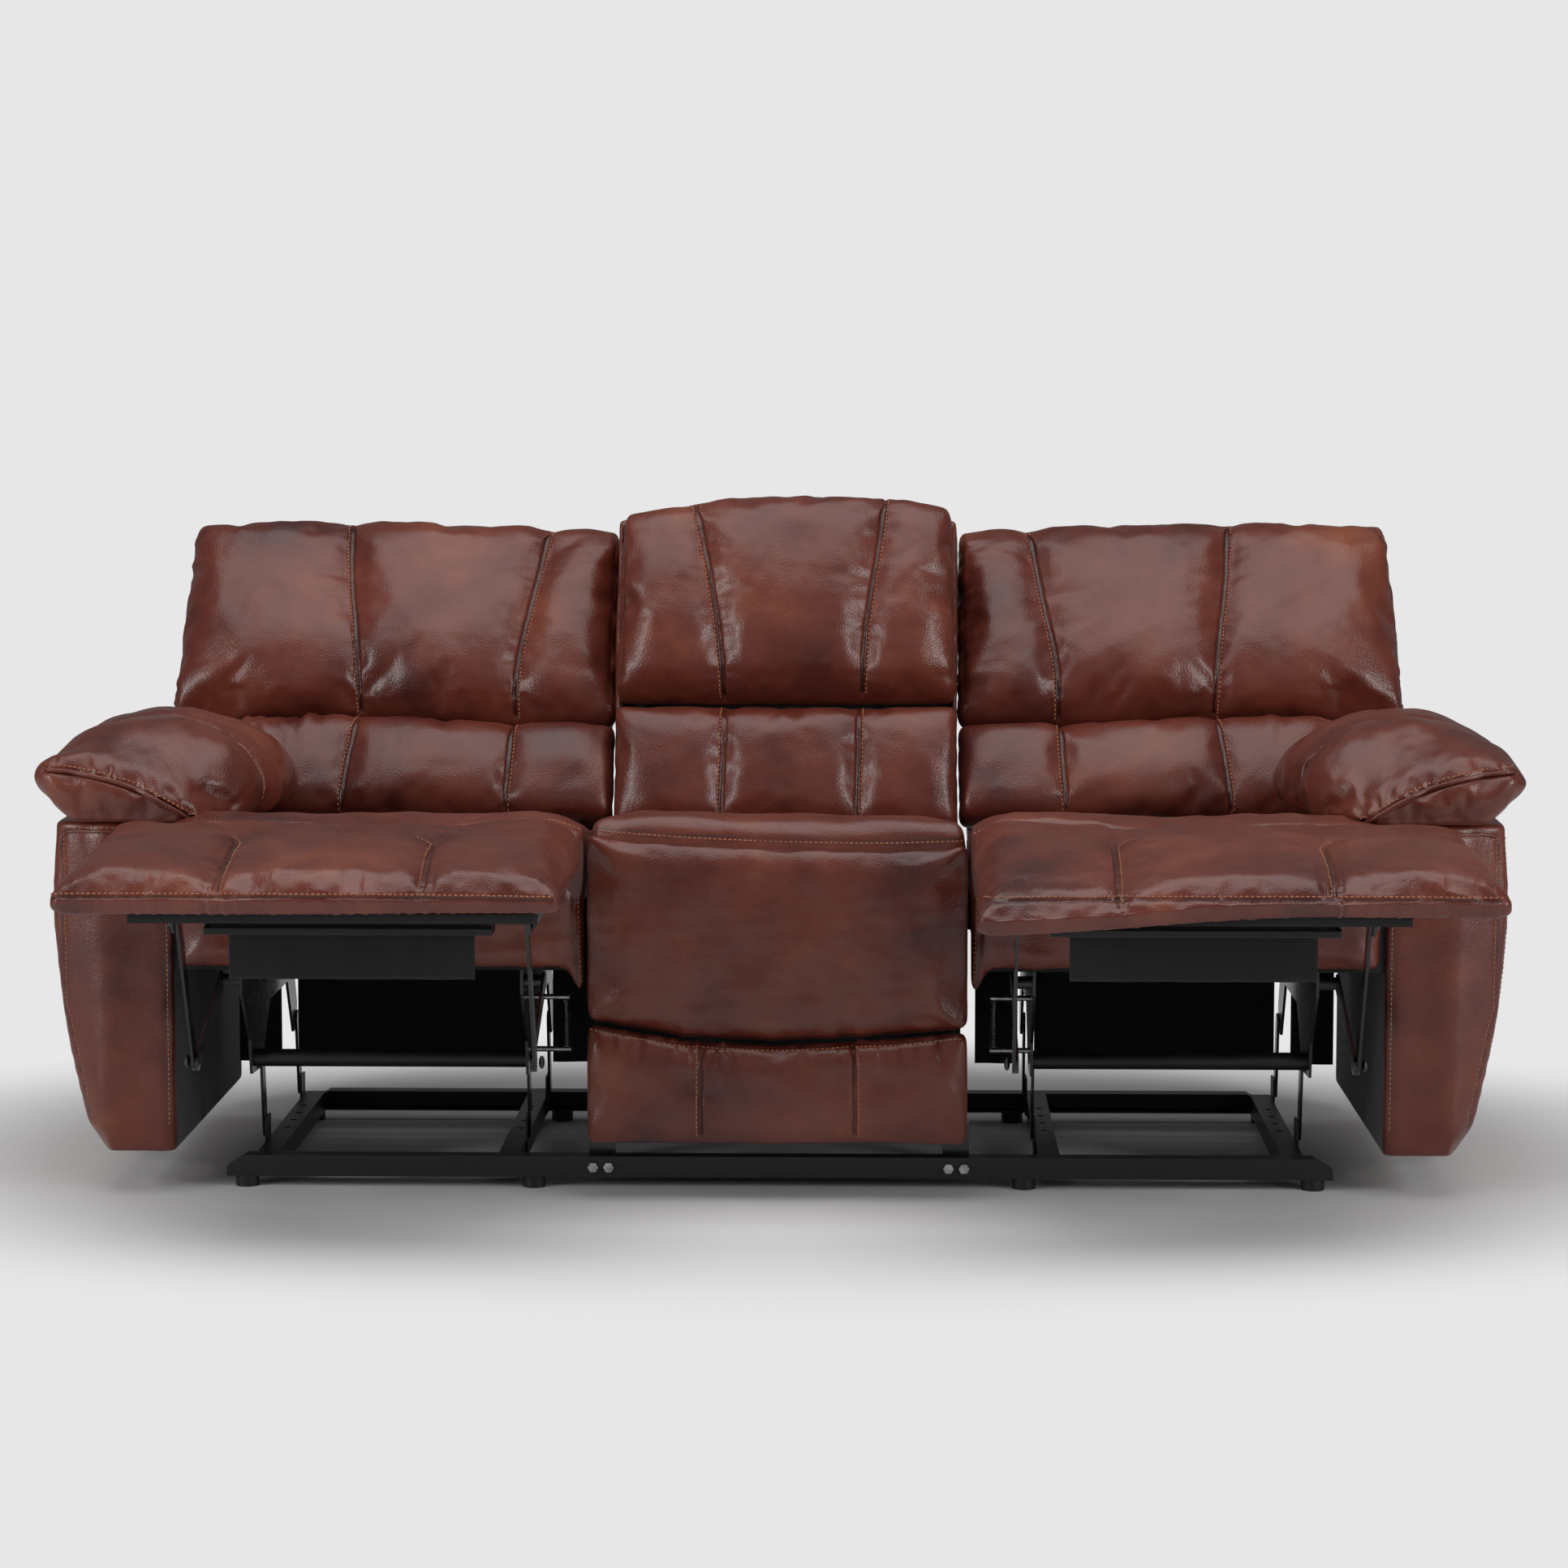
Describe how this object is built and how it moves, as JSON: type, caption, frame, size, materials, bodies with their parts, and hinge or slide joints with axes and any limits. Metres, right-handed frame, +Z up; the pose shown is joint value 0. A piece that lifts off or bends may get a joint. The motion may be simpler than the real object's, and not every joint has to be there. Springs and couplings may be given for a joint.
{
  "type": "reclining sofa",
  "caption": "Leather reclining sofa on a steel base: the end seats glide, lean back and fold out a footrest, the middle seat is fixed.",
  "frame": {"origin": "on the floor under the centre of the steel base", "axes": "+X along the sofa to the right as a viewer in front of it sees it, +Y from the front to the back, +Z up"},
  "size_m": [2.062, 1.3901, 0.977],
  "materials": {
    "black_steel": "black powder coat, satin",
    "zinc": "zinc plated",
    "spring_wire": "oiled spring steel",
    "foot_plastic": "black moulded plastic",
    "dark_plastic": "dark moulded plastic",
    "timber": "sawn hardwood and plywood",
    "leather": "glossy red-brown leather over foam and fibre",
    "leather_cover": "glossy red-brown leather over card and thin padding",
    "black_cloth": "black polypropylene cloth"
  },
  "bodies": {
    "base": {"base_bolts": "zinc", "base_cross_rails": "black_steel", "base_feet": "foot_plastic", "base_side_rails": "black_steel", "centre_back_frame": "timber", "centre_back_lower_cushion": "leather", "centre_back_outside": "leather_cover", "centre_back_upper_cushion": "leather", "centre_brackets": "black_steel", "centre_cushion": "leather", "centre_frame": "timber", "centre_front_panel": "leather", "centre_springs": "spring_wire"},
    "right_seat": {"right_side_plates": "black_steel", "right_cross_tubes": "black_steel", "right_return_spring": "zinc", "right_seat_frame": "timber", "right_seat_springs": "spring_wire", "right_seat_cushion": "leather", "right_front_border": "leather", "right_arm_frame": "timber", "right_arm_cover": "leather_cover", "right_arm_pad": "leather"},
    "right_back": {"right_back_frame": "timber", "right_back_upper_cushion": "leather", "right_back_lower_cushion": "leather", "right_back_outside": "leather_cover"},
    "right_footrest": {"right_footrest_pad": "leather", "right_footrest_board": "timber", "right_footrest_brackets": "black_steel", "right_mid_flap": "black_cloth"},
    "right_front_swing": {"right_front_swing_links": "black_steel"},
    "right_rear_swing": {"right_rear_swing_links": "black_steel"},
    "right_lower_link": {"right_lower_links": "black_steel"},
    "right_upper_link": {"right_upper_links": "black_steel"},
    "right_release": {"right_release_lever": "dark_plastic"},
    "left_seat": {"left_side_plates": "black_steel", "left_cross_tubes": "black_steel", "left_return_spring": "zinc", "left_seat_frame": "timber", "left_seat_springs": "spring_wire", "left_seat_cushion": "leather", "left_front_border": "leather", "left_arm_frame": "timber", "left_arm_cover": "leather_cover", "left_arm_pad": "leather"},
    "left_back": {"left_back_frame": "timber", "left_back_upper_cushion": "leather", "left_back_lower_cushion": "leather", "left_back_outside": "leather_cover"},
    "left_footrest": {"left_footrest_pad": "leather", "left_footrest_board": "timber", "left_footrest_brackets": "black_steel", "left_mid_flap": "black_cloth"},
    "left_front_swing": {"left_front_swing_links": "black_steel"},
    "left_rear_swing": {"left_rear_swing_links": "black_steel"},
    "left_lower_link": {"left_lower_links": "black_steel"},
    "left_upper_link": {"left_upper_links": "black_steel"},
    "left_release": {"left_release_lever": "dark_plastic"}
  },
  "joints": [
    {"name": "right_glide", "type": "hinge", "parent": "base", "child": "right_front_swing", "pos_m": [0.555, -0.14, 0.06], "axis": [1, 0, 0], "range_deg": [-16, 18]},
    {"name": "right_seat_level", "type": "hinge", "parent": "right_front_swing", "child": "right_seat", "pos_m": [0.555, -0.16287, 0.1676], "axis": [1, 0, 0], "range_deg": [-18, 16]},
    {"name": "right_rear_swing", "type": "hinge", "parent": "base", "child": "right_rear_swing", "pos_m": [0.555, 0.22, 0.06], "axis": [1, 0, 0], "range_deg": [-16, 18]},
    {"name": "right_recline", "type": "hinge", "parent": "right_seat", "child": "right_back", "pos_m": [0.555, 0.184, 0.419], "axis": [-1, 0, 0], "range_deg": [-16, 18]},
    {"name": "right_footrest", "type": "hinge", "parent": "right_seat", "child": "right_footrest", "pos_m": [0.555, -0.42, 0.507], "axis": [1, 0, 0], "range_deg": [0, 90]},
    {"name": "right_lower_link", "type": "hinge", "parent": "right_seat", "child": "right_lower_link", "pos_m": [0.555, -0.305, 0.3], "axis": [1, 0, 0], "range_deg": [0, 90]},
    {"name": "right_upper_link", "type": "hinge", "parent": "right_lower_link", "child": "right_upper_link", "pos_m": [0.555, -0.517, 0.22], "axis": [1, 0, 0], "range_deg": [-90, 0]},
    {"name": "right_release", "type": "hinge", "parent": "right_seat", "child": "right_release", "pos_m": [0.99182, -0.15, 0.4675], "axis": [0, -1, 0], "range_deg": [0, 25], "stiffness_Nm_per_rad": 0.6, "springref_deg": -2.86},
    {"name": "left_glide", "type": "hinge", "parent": "base", "child": "left_front_swing", "pos_m": [-0.555, -0.14, 0.06], "axis": [1, 0, 0], "range_deg": [-16, 18]},
    {"name": "left_seat_level", "type": "hinge", "parent": "left_front_swing", "child": "left_seat", "pos_m": [-0.555, -0.16287, 0.1676], "axis": [1, 0, 0], "range_deg": [-18, 16]},
    {"name": "left_rear_swing", "type": "hinge", "parent": "base", "child": "left_rear_swing", "pos_m": [-0.555, 0.22, 0.06], "axis": [1, 0, 0], "range_deg": [-16, 18]},
    {"name": "left_recline", "type": "hinge", "parent": "left_seat", "child": "left_back", "pos_m": [-0.555, 0.184, 0.419], "axis": [-1, 0, 0], "range_deg": [-16, 18]},
    {"name": "left_footrest", "type": "hinge", "parent": "left_seat", "child": "left_footrest", "pos_m": [-0.555, -0.42, 0.507], "axis": [1, 0, 0], "range_deg": [0, 90]},
    {"name": "left_lower_link", "type": "hinge", "parent": "left_seat", "child": "left_lower_link", "pos_m": [-0.555, -0.305, 0.3], "axis": [1, 0, 0], "range_deg": [0, 90]},
    {"name": "left_upper_link", "type": "hinge", "parent": "left_lower_link", "child": "left_upper_link", "pos_m": [-0.555, -0.517, 0.22], "axis": [1, 0, 0], "range_deg": [-90, 0]},
    {"name": "left_release", "type": "hinge", "parent": "left_seat", "child": "left_release", "pos_m": [-0.99182, -0.15, 0.4675], "axis": [0, 1, 0], "range_deg": [0, 25], "stiffness_Nm_per_rad": 0.6, "springref_deg": -2.86}
  ],
  "couplings": [
    {"joint": "right_seat_level", "follows": "right_glide", "ratio": -1},
    {"joint": "right_rear_swing", "follows": "right_glide", "ratio": 1},
    {"joint": "right_recline", "follows": "right_glide", "ratio": 1},
    {"joint": "right_lower_link", "follows": "right_footrest", "ratio": 1},
    {"joint": "right_upper_link", "follows": "right_footrest", "ratio": -1},
    {"joint": "left_seat_level", "follows": "left_glide", "ratio": -1},
    {"joint": "left_rear_swing", "follows": "left_glide", "ratio": 1},
    {"joint": "left_recline", "follows": "left_glide", "ratio": 1},
    {"joint": "left_lower_link", "follows": "left_footrest", "ratio": 1},
    {"joint": "left_upper_link", "follows": "left_footrest", "ratio": -1}
  ]
}
